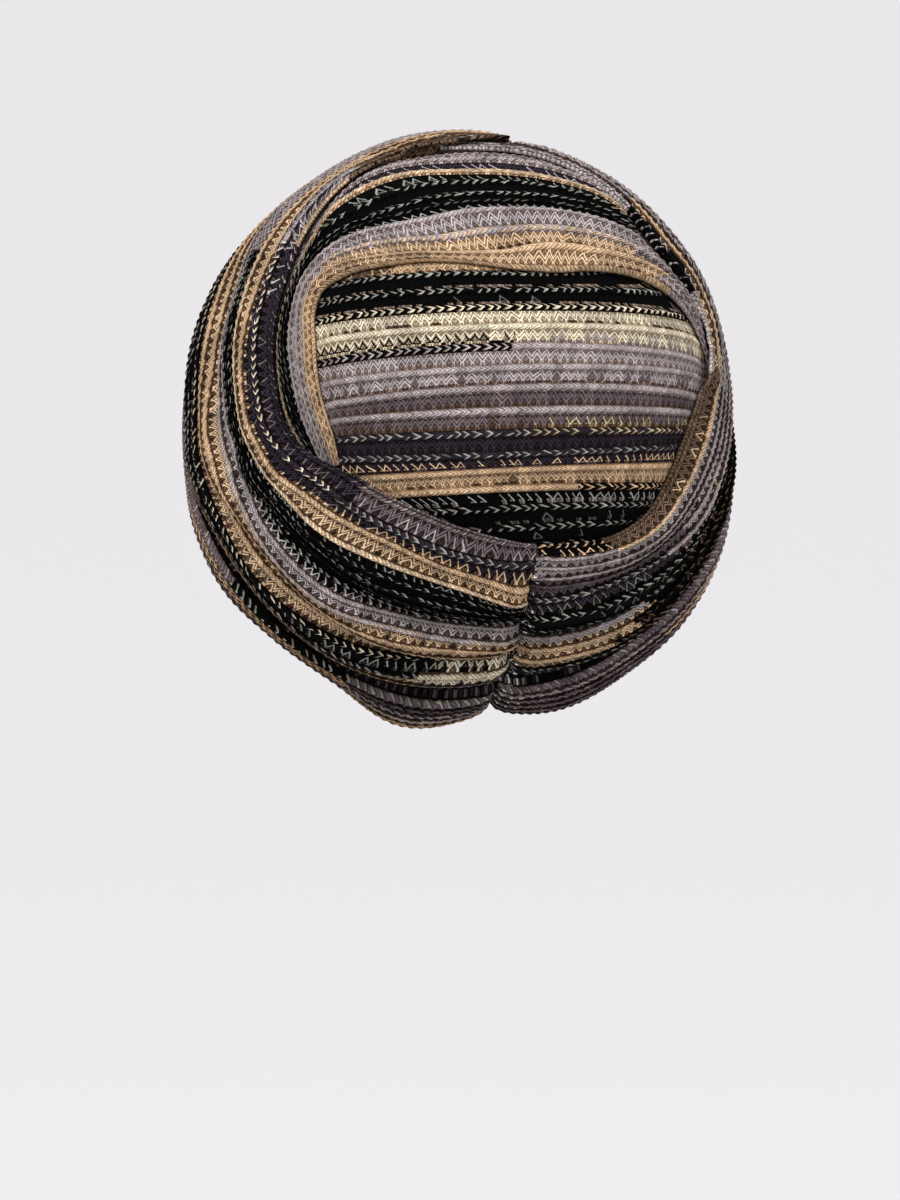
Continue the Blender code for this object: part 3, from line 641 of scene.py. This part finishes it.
LEFT_CORDS = (  # turn, then where courses 1 to 14 run there, in percent of the way across
    (180, 9.6, 25.0, 32.5, 35.7, 38.8, 42.0, 45.1, 48.3, 54.2, 58.3, 63.3, 70.0, 78.3, 88.3),
    (165, 9.4, 18.3, 24.6, 28.6, 32.6, 36.6, 40.6, 44.6, 50.8, 55.0, 60.8, 68.3, 77.5, 88.3),
    (150, 9.4, 15.7, 21.9, 26.6, 31.3, 36.0, 40.7, 45.4, 50.8, 57.5, 65.0, 73.3, 81.7, 90.0),
    (135, 9.9, 15.4, 24.2, 29.5, 34.8, 40.2, 45.5, 50.8, 56.3, 62.5, 69.6, 77.5, 85.0, 92.5),
    (120, 10.8, 19.2, 28.3, 33.0, 37.7, 42.3, 47.0, 51.7, 57.5, 65.0, 72.5, 82.1, 88.3, 94.2),
    (112, 10.0, 21.2, 27.5, 32.0, 36.5, 41.0, 45.5, 50.0, 54.2, 62.5, 70.8, 80.0, 86.7, 93.3),
    (105, 9.2, 21.7, 25.0, 28.7, 32.3, 36.0, 39.6, 43.3, 50.0, 57.5, 66.7, 76.7, 85.0, 92.5),
    (97, 8.3, 18.3, 22.5, 24.0, 25.5, 27.0, 28.5, 30.0, 45.0, 53.3, 64.2, 75.0, 83.3, 91.7),
    (90, 9.6, 20.8, 23.8, 25.5, 27.1, 28.8, 30.4, 32.1, 44.2, 55.0, 65.0, 75.0, 83.3, 91.7),
    (75, 10.0, 20.4, 25.0, 26.8, 28.7, 30.5, 32.4, 34.2, 37.5, 46.7, 56.7, 70.8, 81.7, 91.7),
    (60, 10.4, 16.7, 25.8, 27.3, 28.8, 30.3, 31.8, 33.3, 35.8, 45.0, 56.7, 70.8, 81.7, 91.7),
    (45, 10.8, 15.0, 28.3, 31.5, 34.7, 37.8, 41.0, 44.2, 50.8, 58.3, 69.2, 78.3, 85.8, 92.5),
    (20, 7.7, 15.4, 23.1, 27.7, 32.3, 37.0, 41.6, 46.2, 53.8, 61.5, 69.3, 76.9, 84.6, 92.3),
    (0, 7.7, 15.4, 23.1, 27.7, 32.3, 37.0, 41.6, 46.2, 53.8, 61.5, 69.3, 76.9, 84.6, 92.3),
)
LEFT_CHART = (
    (0, 0, 180, "mauve grey .5", "mauve grey .3", "mauve grey .3"),
    (0, 52, 118, "navy mauve .6", "navy mauve .6", "navy mauve .4"),
    (0, 28, 52, "tan cream .6", "grey navy .5", "grey navy .5"),
    (0, 0, 28, "brown black .6", "brown tan .3", "black brown .4"),
    (0, 46, 60, "navy grey .8", "navy grey .9", "navy grey .8"),
    (1, 0, 180, "navy fleck .8", "navy tan .9", "navy tan .9"),
    (1, 52, 118, "navy cream .8", "navy mauve .4", "navy tan .7"),
    (1, 28, 52, "grey cream .5", "grey navy .5", "navy grey .5"),
    (1, 48, 58, "navy cream .9", "navy grey .9", "navy tan .8"),
    (1, 0, 28, "brown tan .4", "brown tan .2", "black brown .4"),
    (2, 0, 180, "tan tan 0", "tan tan 0", "tan brown .3"),
    (3, 0, 180, "tan cream .9", "black fleck .9", "black black 0"),
    (3, 0, 52, "tan cream .3", "tan brown .2", "tan brown .3"),
    (4, 0, 180, "black fleck .7", "black black 0", "black ash .2"),
    (4, 0, 52, "grey tan .3", "grey mauve .4", "grey mauve .3"),
    (5, 0, 180, "black fleck .8", "black ash .3", "black black 0"),
    (5, 0, 52, "grey tan .3", "grey mauve .4", "grey mauve .3"),
    (6, 0, 180, "black ash .5", "black black 0", "black grey .5"),
    (6, 0, 52, "grey grey 0", "grey mauve .3", "grey mauve .3"),
    (7, 0, 180, "black fleck .9", "black grey .9", "black grey .9"),
    (7, 0, 52, "grey grey 0", "grey mauve .3", "grey mauve .3"),
    (8, 0, 180, "grey grey 0", "grey grey 0", "grey mauve .3"),
    (9, 0, 180, "grey tan .7", "tan brown .2", "tan brown .4"),
    (10, 0, 180, "tan tan 0", "tan brown .1", "tan brown .4"),
    (11, 0, 180, "tan brown .2", "tan brown .4", "brown tan .5"),
    (11, 150, 180, "tan brown .5", "brown black .6", "black brown .7"),
    (12, 0, 180, "black cream .7", "black fleck .8", "black ash .5"),
    (12, 163, 180, "black cream .7", "cream black .6", "cream black .4"),
    (13, 0, 180, "black fleck .8", "black fleck .8", "black ash .5"),
    (13, 161, 180, "cream cream 0", "cream black .2", "cream black .5"),
    (13, 98, 161, "black fleck .9", "tan brown .7", "brown tan .7"),
    (14, 0, 180, "black fleck .8", "black fleck .8", "black ash .5"),
    (14, 98, 161, "brown tan .6", "tan brown .6", "brown tan .6"),
    (14, 161, 180, "mauve fleck .9", "navy fleck .8", "navy mauve .5"),
    (15, 0, 180, "black ash .8", "black ash .3", "black black 0"),
)


def cover(turn, reach):
    """Top level of whatever lies under the wraps: the panel's rim, the fold, or the bare lining."""
    inner = panel_border(turn)
    rim = LINING + (PANEL_DROP + GAP - LINING) * (1 - ramp(reach, inner + TUCK + 1.0, inner + TUCK + 4.0))
    border = eased(turn, FOLD, 5)
    over_fold = ramp(reach, border + FOLD_TUCK + 8.0, border + FOLD_TUCK + 4.0)
    over_fold *= ramp(turn, -98, -86) * ramp(turn, 122, 111.2)
    fold = LINING + (fold_top(turn, reach) + CORD + 1.6 * GAP - LINING) * over_fold
    return np.maximum(rim, fold)


def front_turn(base, reach):
    """Turn of a station: its own beyond FRONT, and drawn to the slanting crease (base 0) before it."""
    line = 12.0 - 22.0 * ramp(reach, 61.5, 75.0) - 20.0 * ramp(reach, 75.0, 125.0)
    return np.where(np.abs(base) < FRONT, line + base * (FRONT - np.sign(base) * line) / FRONT, base)


def turn_from_seam(side, away, reach):
    """Turn of a point the given distance away from the seam, on the side +1 or -1."""
    return side * (180.0 - np.degrees(away / (HALF_Z * np.sin(np.radians(reach)))))


def seam_dip(turn, reach):
    """How far a wrap's surface rounds down as it runs into the seam: by a quarter of an ellipse."""
    deep, wide = 4.5 * MM, 8 * MM
    away = np.radians(180.0 - np.abs(turn)) * HALF_Z * np.sin(np.radians(reach))
    edge = 1 - np.clip(away / wide, 0.0, 1.0)
    return deep * (1 - np.sqrt(1 - edge ** 2))


def pleats(share, turn, table):
    """Soft pleats along a wrap: a bell curve across it for each row, fading out away from the seam."""
    height = np.zeros_like(share)
    for middle, rise, half, end in table:
        near_seam = ramp(np.abs(turn), abs(end) - 40, abs(end) + 40)
        height += rise * MM * np.exp(-((share - middle) / half) ** 2) * near_seam
    return height


def wrap_top(share, turn, reach, table, folds, rows):
    """Outer level of a wrap: rolled at both edges, pleated towards the seam, with a cord on each course."""
    inner, outer = eased(turn, table, 1), eased(turn, table, 2)
    height, roll = eased(turn, table, 3) * MM, eased(turn, table, 4) / 1.9
    body = height + pleats(share, turn, folds) - seam_dip(turn, reach)
    lip = cover(turn, inner) + LIP
    edge = 1 - np.clip((reach - inner) / roll, 0.0, 1.0)
    body = lip + (body - lip) * np.sqrt(1 - edge ** 2)
    foot = UNDER + 1.8 * GAP + LIP
    edge = 1 - np.clip((outer - reach) / 2.4, 0.0, 1.0)
    body = foot + (body - foot) * np.sqrt(1 - edge ** 2)
    return body + cords(rows) * ramp(reach, inner, inner + 1) * ramp(reach, outer, outer - 1)


def wrap_foot(turn, reach, outer):
    """Inner level of a wrap: the lining, lifted over the hem band and over what lies under it."""
    over_band = ramp(reach, outer - CLEAR_BAND - 4.0, outer - CLEAR_BAND)
    return np.maximum(cover(turn, reach), LINING + (UNDER + 1.8 * GAP - LINING) * over_band)


def squeezed(offset, kept, room):
    """Offsets from a wrap's edge, those beyond the kept one drawn back to it where there is little room."""
    return np.minimum(offset, kept) + np.maximum(offset - kept, 0.0) * room


def wrap_rings(bases, table, folds, cord_places, side):
    """Grid of a wrap: each ring goes across the outer face from edge to edge at the course rows, then back
    along the inner side; a ring's turn is drawn to the seam at one end and to the crease at the other. The
    turn depends on the reach and the reach on the turn, so both are worked out together in a few rounds."""
    courses = len(cord_places[0])
    numbers = course_rows(0.0, float(courses))
    numbers = np.concatenate([[0.0, 0.05], numbers[1:-1], [courses - 0.05, courses]])
    faces = drawn(bases, numbers, cord_places, 100.0) / 100
    from_outer = np.array([0.05, 4.5, CLEAR_BAND, 13.5])
    from_inner = np.array([19.5, 15.5, 12.5, CLEAR_RIM, 7.5, 5.0, 2.5, 0.05])
    n = len(numbers)
    by_outer, by_inner = slice(n, n + len(from_outer)), slice(n + len(from_outer) + 1, None)
    base = np.repeat(bases[:, None], n + len(from_outer) + 1 + len(from_inner), axis=1)
    turn = base
    rounds = 12
    for _ in range(rounds):
        inner, outer = eased(turn, table, 1), eased(turn, table, 2)
        room = np.clip((outer - inner - CLEAR_BAND - CLEAR_RIM) / 17.0, 0.0, 1.0)
        reach = (inner + outer) / 2 + 3.0 * room
        reach[:, :n] = inner[:, :n] + (outer - inner)[:, :n] * faces
        reach[:, by_outer] = outer[:, by_outer] - squeezed(from_outer, CLEAR_BAND, room[:, by_outer])
        reach[:, by_inner] = inner[:, by_inner] + squeezed(from_inner, CLEAR_RIM, room[:, by_inner])
        turn = (turn + front_turn(base, reach)) / 2
    near = ramp(np.abs(turn), 176.0, 180.0)
    turn = turn * (1 - near) + near * turn_from_seam(side, SEAM_SIDE, reach)
    share = (reach - inner) / (outer - inner)
    rows = np.concatenate([numbers, share[0, n:] * courses])
    level = wrap_top(share, turn, reach, table, folds, rows)
    foot = wrap_foot(turn, reach, outer)
    under = np.maximum(CREASE_DROP, foot + LIP)
    if side > 0:
        foot = foot + (under + 3 * GAP - foot) * ramp(base, CREASE_TUCK + 8.0, CREASE_TUCK + 4.0)
        level -= 1.2 * MM * (1 - np.sqrt(1 - (1 - np.clip(base / 7.0, 0.0, 1.0)) ** 2))
    else:
        level = level + (under - level) * ramp(base, -8.0, -2.5)
    level = np.maximum(level, foot + LIP)
    level[:, n:] = foot[:, n:]
    return spots(turn, reach, level), n, rows, bases


left_wrap = knit("left_wrap_knit", *wrap_rings(np.linspace(0, 180, 465), LEFT, PLEATS_LEFT, LEFT_CORDS, 1),
                 charted(LEFT_CHART, 0.07))
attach(left_wrap, "root")
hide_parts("left_wrap")

# Right wrap
# Folded knit from the nape seam up the right side and over the top, its end under the left wrap.
# Its edge beside the panel turns outwards and shows the browner back of the knit.
PLEATS_RIGHT = (  # share across, height in mm, half width across, fades out at this turn
    (0.28, -1.8, 0.070, -120),
    (0.46, 2.2, 0.085, -95),
    (0.62, -2.2, 0.065, -105),
    (0.78, 2.4, 0.085, -110),
)
RIGHT_CORDS = (  # turn, then where courses 1 to 11 run there, in percent of the way across
    (-180, 7.5, 13.0, 20.0, 26.0, 34.0, 43.5, 53.0, 63.0, 69.5, 76.0, 87.0),
    (-166, 7.5, 13.0, 19.0, 25.0, 32.0, 42.0, 53.0, 64.0, 69.5, 75.0, 87.0),
    (-152, 6.0, 13.0, 19.0, 24.0, 30.0, 41.0, 52.0, 63.0, 70.0, 77.0, 88.0),
    (-139, 7.5, 17.0, 22.0, 27.0, 34.0, 43.0, 53.0, 64.0, 70.0, 77.0, 88.0),
    (-125, 10.0, 22.0, 28.0, 34.0, 41.0, 49.0, 56.0, 63.0, 70.0, 77.0, 88.0),
    (-105, 16.0, 28.0, 34.0, 39.0, 45.0, 51.0, 57.0, 63.0, 70.0, 77.0, 88.0),
    (-84, 16.0, 26.0, 33.0, 40.0, 47.0, 53.0, 59.0, 65.0, 72.0, 79.0, 90.0),
    (-60, 10.0, 20.0, 30.0, 40.0, 50.0, 57.0, 64.0, 71.0, 78.0, 85.0, 92.0),
    (16, 10.0, 20.0, 30.0, 40.0, 50.0, 57.0, 64.0, 71.0, 78.0, 85.0, 92.0),
)
RIGHT_CHART = (
    (0, -180, 16, "brown tan .3", "brown tan .3", "brown tan .3"),
    (0, -180, -155, "black tan .95", "black tan .95", "black tan .7"),
    (0, -84, -40, "grey tan .5", "tan grey .5", "tan brown .4"),
    (0, -62, -40, "black grey .6", "black grey .6", "black tan .5"),
    (0, -40, 16, "grey mauve .3", "grey mauve .4", "mauve grey .4"),
    (1, -180, 16, "tan cream .5", "grey grey 0", "grey mauve .3"),
    (1, -180, -152, "grey mauve .3", "grey mauve .2", "grey mauve .3"),
    (1, -84, -40, "tan grey .6", "tan grey .5", "black tan .5"),
    (1, -40, 16, "grey grey 0", "mauve grey .4", "mauve grey .4"),
    (2, -180, 16, "grey mauve .2", "grey mauve .3", "mauve grey .3"),
    (2, -84, -40, "grey black .7", "grey mauve .4", "grey mauve .4"),
    (3, -180, 16, "grey mauve .5", "mauve grey .3", "mauve grey .2"),
    (3, -130, -80, "grey black .5", "grey black .4", "grey mauve .4"),
    (4, -180, 16, "mauve grey .4", "mauve ash .5", "navy mauve .3"),
    (4, -130, -80, "grey black .4", "grey black .5", "mauve tan .4"),
    (5, -180, 16, "navy fleck .9", "navy ash .8", "black ash .4"),
    (5, -138, -80, "grey tan .5", "mauve black .5", "grey black .5"),
    (6, -180, 16, "black fleck .8", "black ash .3", "black ash .3"),
    (6, -128, -80, "black grey .7", "grey black .5", "black mauve .6"),
    (7, -180, 16, "black fleck .6", "black black 0", "black ash .3"),
    (8, -180, 16, "black fleck .8", "black brown .5", "black brown .3"),
    (8, -180, -148, "grey fleck .5", "grey tan .6", "tan brown .3"),
    (9, -180, 16, "black brown .7", "black brown .5", "black brown .3"),
    (9, -180, -152, "tan grey .5", "tan brown .2", "tan brown .3"),
    (10, -180, 16, "black brown .8", "black brown .6", "black mauve .5"),
    (10, -180, -158, "tan brown .3", "brown tan .7", "black brown .5"),
    (11, -180, 16, "black fleck .8", "black mauve .6", "black mauve .3"),
    (12, -180, 16, "black ash .6", "black mauve .5", "black mauve .3"),
)
right_bases = np.concatenate([np.linspace(-180, -11, 520), np.linspace(-10.5, 7.0, 40)])
right_wrap = knit("right_wrap_knit", *wrap_rings(right_bases, RIGHT, PLEATS_RIGHT, RIGHT_CORDS, -1),
                  charted(RIGHT_CHART, 0.07))
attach(right_wrap, "root")
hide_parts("right_wrap")

# Hem band
# Rolled hem round nape, sides and forehead, its two ends butted at the nape seam.
# Its upper edge is hidden under the wraps.
HEM = (    # turn, hem, height in mm, outward stand of the hem in mm
    (180, 79.0, -1.0, 4.0),
    (165, 85.5, 1.0, 9.0),
    (150, 88.2, 0.0, 3.2),
    (136, 92.6, 0.8, 2.0),
    (122, 97.6, 3.6, 1.5),
    (110, 102.0, 3.4, 0.5),
    (98, 109.0, 1.0, 0.0),
    (84, 116.0, 0.0, 0.0),
    (66, 124.5, 0.0, 0.0),
    (46, 134.5, 0.0, 0.0),
    (24, 143.5, 0.5, 0.0),
    (0, 147.0, 1.0, 0.0),
    (-24, 143.5, 0.5, 0.0),
    (-46, 134.5, 0.0, 0.0),
    (-66, 124.0, 0.0, 0.0),
    (-84, 113.0, 0.5, 0.0),
    (-98, 103.0, 0.4, 0.0),
    (-110, 95.5, 2.0, 1.0),
    (-122, 90.5, 3.4, 1.5),
    (-136, 87.5, 2.8, 2.5),
    (-150, 86.4, 0.8, 3.6),
    (-166, 84.0, 1.0, 4.5),
    (-180, 79.0, -1.0, 4.0),
)
HEM_CHART = (
    # Courses -2 and -1 lie in the gap under the wraps' edges: plain black there is painted shade for that
    # gap.
    (-2, -180, 180, "black black 0", "black black 0", "black black 0"),
    (-1, -180, 180, "black black 0", "black black 0", "black mauve .3"),
    (-1, 140, 180, "black ash .8", "black mauve .6", "navy mauve .6"),
    (0, -180, 180, "mauve grey .6", "mauve grey .5", "mauve navy .3"),
    (0, 122, 152, "black fleck .8", "tan brown .6", "brown tan .7"),
    (0, 152, 180, "mauve fleck .9", "mauve fleck .7", "mauve navy .5"),
    (1, -180, 180, "grey mauve .7", "mauve grey .5", "mauve navy .5"),
    (1, 106, 152, "tan mauve .7", "tan brown .5", "brown tan .8"),
    (1, 152, 180, "mauve navy .7", "mauve navy .6", "navy mauve .5"),
    (2, -180, 180, "mauve grey .6", "mauve grey .5", "mauve navy .3"),
    (2, 98, 152, "tan brown .6", "tan brown .5", "brown tan .8"),
    (2, 152, 180, "grey navy .8", "mauve navy .6", "mauve navy .5"),
    (2, -142, -96, "tan mauve .4", "mauve tan .4", "mauve navy .5"),
    (3, -180, 180, "mauve grey .5", "mauve grey .3", "mauve navy .5"),
    (3, 92, 152, "mauve tan .7", "brown tan .9", "brown tan .8"),
    (3, 152, 180, "grey tan .7", "mauve tan .9", "mauve tan .5"),
    (4, -180, 180, "mauve grey .5", "mauve brown .4", "brown mauve .3"),
    (4, 85, 152, "mauve fleck .8", "navy mauve .8", "navy mauve .4"),
    (4, 152, 180, "tan mauve .6", "tan mauve .5", "tan brown .4"),
    (5, -180, 180, "mauve brown .4", "mauve brown .5", "brown mauve .3"),
    (5, 125, 180, "tan brown .5", "tan brown .5", "tan brown .4"),
    (6, -180, 180, "brown mauve .4", "brown mauve .5", "brown mauve .3"),
    (6, 125, 180, "tan brown .5", "tan brown .5", "tan brown .3"),
)


def band_edge(turn):
    """Reach of the wraps' outer edges, where the hem band comes out from under them."""
    return np.where(turn > -18, eased(turn, LEFT, 2), eased(turn, RIGHT, 2))


def band_top(turn, reach):
    """Outer level of the hem band: low under the wraps, then standing out towards the hem."""
    edge = band_edge(turn)
    face = (eased(turn, HEM, 2) + eased(turn, HEM, 3) * ramp(reach, edge, eased(turn, HEM, 1))) * MM
    return UNDER + (face - seam_dip(turn, reach) - UNDER) * ramp(reach, edge + 1.4, edge + 4.4)


def band_rings(turns):
    """Grid of the hem band: outer face down to the hem, round it by a quarter ellipse, and back up inside."""
    courses, upper = 6, 4.2    # number of them, and degrees from the wraps' edge to the first
    hidden = np.array([-TUCK, -TUCK / 2, 0.0, 1.2, 2.0, 2.8, 3.5])
    faces = course_rows(0.0, float(courses))[1:] / courses
    back = np.array([1.0, 0.93, 0.84, 0.75, 0.6, 0.4, 0.1, -0.3])
    turn = np.repeat(turns[:, None], len(hidden) + len(faces) + len(back), axis=1)
    edge, hem = band_edge(turns)[:, None], eased(turns, HEM, 1)[:, None]
    up_back = edge + np.maximum(back, 0) * (hem - edge) + np.minimum(back, 0) * TUCK / 0.3
    reach = np.concatenate([edge + hidden, edge + upper + faces * (hem - edge - upper), up_back], axis=1)
    share = (reach - edge) / (hem - edge)
    near = ramp(np.abs(turn), 176.0, 180.0)
    turn = turn * (1 - near) + near * turn_from_seam(np.sign(turn), SEAM_SIDE, reach)
    rows = np.concatenate([hidden / upper - 1.0, faces * courses, back * courses - 0.6])
    foot = LINING + eased(turn, HEM, 3) * MM * ramp(share, 0.0, 1.0) + 1.5 * MM
    thick = band_top(turn, reach) - foot
    rounding = 1 - np.sqrt(1 - np.clip((share - 0.75) / 0.25, 0, 1) ** 2)
    top = foot + thick * (1 - 0.42 * rounding) + cords(rows) * ramp(share, 0.0, 0.2)
    foot = foot + 0.30 * thick * rounding
    faced = len(hidden) + len(faces)
    level = np.where(np.arange(turn.shape[1]) < faced, top, foot)
    return spots(turn, reach, level), faced, rows, turns


hem_band = knit("hem_band_knit", *band_rings(np.linspace(-180, 180, 1000)), charted(HEM_CHART, 0.07))
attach(hem_band, "root")
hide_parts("hem_band")

# Floor
# A plain pale floor far under the headwrap, wide enough to fill the picture behind it.
FLOOR_HALF, FLOOR_AT = 200.0, -0.8
corners = [(x * FLOOR_HALF, y * FLOOR_HALF, FLOOR_AT) for x, y in ((-1, -1), (1, -1), (1, 1), (-1, 1))]
ground = bpy.data.meshes.new("floor")
ground.from_pydata(corners, [], [(0, 1, 2, 3)])
paper = bpy.data.materials.new("paper")
paper.use_nodes = True
sockets = paper.node_tree.nodes["Principled BSDF"].inputs
sockets["Base Color"].default_value = (0.86, 0.85, 0.865, 1.0)
sockets["Roughness"].default_value = 1.0
sockets["Emission Color"].default_value = (1.0, 0.985, 1.005, 1.0)
sockets["Emission Strength"].default_value = 0.38
ground.materials.append(paper)
floor = bpy.data.objects.new("floor", ground)
scene.collection.objects.link(floor)
floor.visible_diffuse = False

# Light
# A large soft light above on the left, a weaker one on the right, and even light all round.
world = bpy.data.worlds.new("studio")
scene.world = world
world.use_nodes = True
world.node_tree.nodes["Background"].inputs["Color"].default_value = (0.94, 0.93, 0.945, 1.0)
world.node_tree.nodes["Background"].inputs["Strength"].default_value = 0.53
LAMPS = (  # name, metres to the right of the picture, towards the camera and up, width, watts
    ("key", -0.8, 1.6, 1.5, 1.4, 45.0),
    ("fill", 1.4, 1.1, 0.6, 1.2, 12.0),
)
for name, side, ahead, high, size, power in LAMPS:
    area = bpy.data.lights.new(name, "AREA")
    area.shape = "DISK"
    area.size = size
    area.energy = power
    lamp = bpy.data.objects.new(name, area)
    scene.collection.objects.link(lamp)
    place = side * sideways + ahead * toward + np.array([0, 0, high])
    lamp.location = place
    aimed = -place / np.linalg.norm(place)
    lamp.rotation_euler = (math.acos(-aimed[2]), 0.0, math.atan2(-aimed[0], aimed[1]))

scene.view_settings.view_transform = "Standard"
